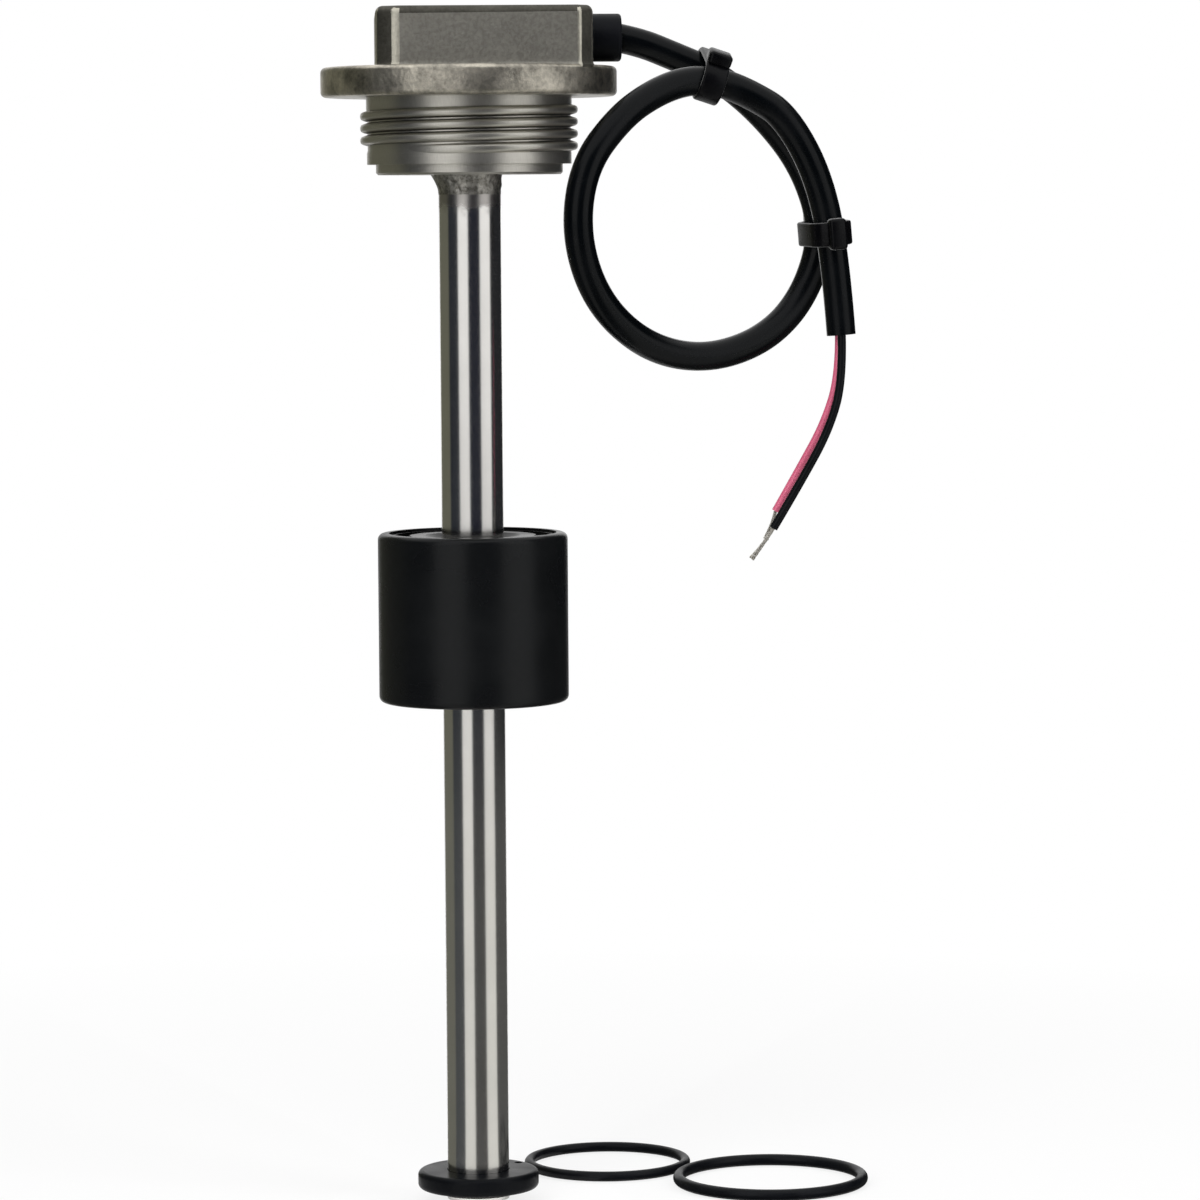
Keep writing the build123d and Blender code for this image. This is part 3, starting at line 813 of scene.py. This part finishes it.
# Inside the stem and head: a narrow glass-epoxy board with reed switches in front and chips behind,
# two leads up to the cable, and grey-black potting that fills the head.
board_epoxy = mottled("glass_epoxy_board", "#1f6a3c", "#1a5a33", "#27794a", 0.35, 0.0, 1400)
give(board_epoxy, "circuit_board")
reed_glass = smooth_compound("reed_glass_green", "#4f6a55", "#7d9484", 0.12, 0.8, 0.002, 3)
give(reed_glass, "reed_switches")
chip_ceramic = smooth_compound("resistor_ceramic_glazed", "#1b1b1d", "#3b3b3e", 0.3, 0.3, 0.005, 2)
give(chip_ceramic, "resistors")
give(black_insulation, "inner_lead_black")
give(pink_insulation, "inner_lead_pink")
potting = smooth_compound("epoxy_potting_poured", "#1c1d20", "#2a2b2f", 0.3, 1.2, 0.03, 8)
give(potting, "head_potting")

# Floor: a plain pale studio floor at the stem's tip, white to the eye, which keeps the soft shadow.
# The room is white where it is looked at and in reflections, and lights the part evenly.
floor_work = bmesh.new()
floor_place = Matrix.Translation((0, 0, cad_box[0].z - 0.0002))
bmesh.ops.create_grid(floor_work, x_segments=1, y_segments=1, size=2.0, matrix=floor_place)
floor_mesh = bpy.data.meshes.new("floor")
floor_work.to_mesh(floor_mesh)
floor_work.free()
floor = bpy.data.objects.new("floor", floor_mesh)
bpy.context.scene.collection.objects.link(floor)
floor_paint, floor_tree, floor_shader, floor_object = start_material("floor_paint", "#e6e6e6", 0.7)
# The eye sees mostly white near the part, and white alone from 0.4 m out.
floor_seen = add_node(floor_tree, "LightPath")
floor_far = add_node(floor_tree, "VectorMath", {0: floor_object}, operation="LENGTH")
floor_clear = add_node(
    floor_tree,
    "MapRange",
    {"Value": floor_far.outputs["Value"], "From Min": 0.22, "From Max": 0.40, "To Min": 0.8, "To Max": 1.0},
)
floor_share = add_node(
    floor_tree,
    "Math",
    {0: floor_seen.outputs["Is Camera Ray"], 1: floor_clear.outputs["Result"]},
    operation="MULTIPLY",
)
floor_white = add_node(floor_tree, "Emission", {"Color": (1, 1, 1, 1), "Strength": 1.0})
floor_mix = add_node(
    floor_tree,
    "MixShader",
    {0: floor_share.outputs[0], 1: floor_shader.outputs[0], 2: floor_white.outputs[0]},
)
floor_tree.links.new(floor_mix.outputs[0], floor_tree.nodes["Material Output"].inputs["Surface"])
floor_mesh.materials.append(floor_paint)

bpy.context.scene.view_settings.view_transform = "Standard"
world = bpy.data.worlds.new("studio")
bpy.context.scene.world = world
world.use_nodes = True
sky = world.node_tree
sky.nodes.clear()
seen = add_node(sky, "LightPath")
direct = add_node(
    sky, "Math", {0: seen.outputs["Is Camera Ray"], 1: seen.outputs["Is Glossy Ray"]}, operation="MAXIMUM"
)
direct = add_node(
    sky, "Math", {0: direct.outputs[0], 1: seen.outputs["Is Transmission Ray"]}, operation="MAXIMUM"
)
level = add_node(sky, "MapRange", {"Value": direct.outputs[0], "To Min": 0.45, "To Max": 1.0})
backdrop = add_node(sky, "Background", {"Color": (1, 1, 1, 1), "Strength": level.outputs["Result"]})
add_node(sky, "OutputWorld", {"Surface": backdrop.outputs[0]})

# Screens: tall dark curved sheets round the part, with gaps between them, and cloths on the floor below,
# dark under the screens and pale in two gaps. Only mirrored rays see them.
# They and the gaps draw the dark and bright bands along the polished stem.
# Each has its two bearings, its own shade and its cloth's.
SCREENS = (
    (-10, 34, "#20222c", "#50504f"),
    (76, 158, "#26272a", "#565655"),
    (-90, -48, "#2b2e34", "#4c4e50"),
    (-158, -90, "#66665a", "#6c6c64"),
)
PALE_GAPS = ((-48, -10), (34, 76))
SCREEN_RADIUS = 0.75
floor_z = cad_box[0].z + 0.0005
SCREEN_LINE = ((SCREEN_RADIUS, -0.9), (SCREEN_RADIUS, 0.55))
CLOTH_LINE = ((0.03, floor_z), (SCREEN_RADIUS, floor_z))


def shaded_sheet(name, outline, start, stop, shade):
    """A sheet spun from a line between two bearings, which shines a little with its own shade."""
    work = bmesh.new()
    ends = [work.verts.new((0, -radius, height)) for radius, height in outline]
    line = work.edges.new(ends)
    bmesh.ops.rotate(work, cent=(0, 0, 0), matrix=Matrix.Rotation(math.radians(start), 3, "Z"), verts=ends)
    bmesh.ops.spin(
        work,
        geom=[*ends, line],
        cent=(0, 0, 0),
        axis=(0, 0, 1),
        angle=math.radians(stop - start),
        steps=24,
        use_duplicate=False,
    )
    mesh = bpy.data.meshes.new(name)
    work.to_mesh(mesh)
    work.free()
    sheet = bpy.data.objects.new(name, mesh)
    bpy.context.scene.collection.objects.link(sheet)
    cloth = bpy.data.materials.new(name)
    cloth.use_nodes = True
    cloth.node_tree.nodes.clear()
    glow = add_node(cloth.node_tree, "Emission", {"Color": linear(shade), "Strength": 1.0})
    add_node(cloth.node_tree, "OutputMaterial", {"Surface": glow.outputs[0]})
    mesh.materials.append(cloth)
    sheet.visible_camera = False
    sheet.visible_diffuse = False
    sheet.visible_transmission = False
    sheet.visible_shadow = False


for number, (start, stop) in enumerate(PALE_GAPS):
    shaded_sheet(f"pale_cloth_{number}", CLOTH_LINE, start, stop, "#dcdcd8")
for number, (start, stop, wall_shade, floor_shade) in enumerate(SCREENS):
    shaded_sheet(f"screen_{number}", SCREEN_LINE, start, stop, wall_shade)
    shaded_sheet(f"floor_cloth_{number}", CLOTH_LINE, start, stop, floor_shade)

# Lamps: two tall soft boxes, left and right of the camera, and a broad one overhead.
# They are low in power, so each colour comes out about as it is, and mirrored rays pass them by.
LAMP_DISTANCE = 0.7
lamp_aim = Vector((0.02, 0, -0.09))
for name, bearing, height, size, power in (
    ("lamp_left", -29, 0.10, (0.35, 0.9), 6.0),
    ("lamp_right", 55, 0.10, (0.30, 0.9), 5.0),
    ("lamp_top", -8, 0.75, (0.7, 0.7), 6.0),
):
    lamp = bpy.data.objects.new(name, bpy.data.lights.new(name, "AREA"))
    bpy.context.scene.collection.objects.link(lamp)
    lamp.data.shape = "RECTANGLE"
    lamp.data.size, lamp.data.size_y = size
    lamp.data.energy = power
    angle = math.radians(bearing)
    lamp.location = (LAMP_DISTANCE * math.sin(angle), -LAMP_DISTANCE * math.cos(angle), height)
    lamp.rotation_mode = "QUATERNION"
    lamp.rotation_quaternion = (lamp_aim - lamp.location).to_track_quat("-Z", "Y")
    lamp.visible_glossy = False
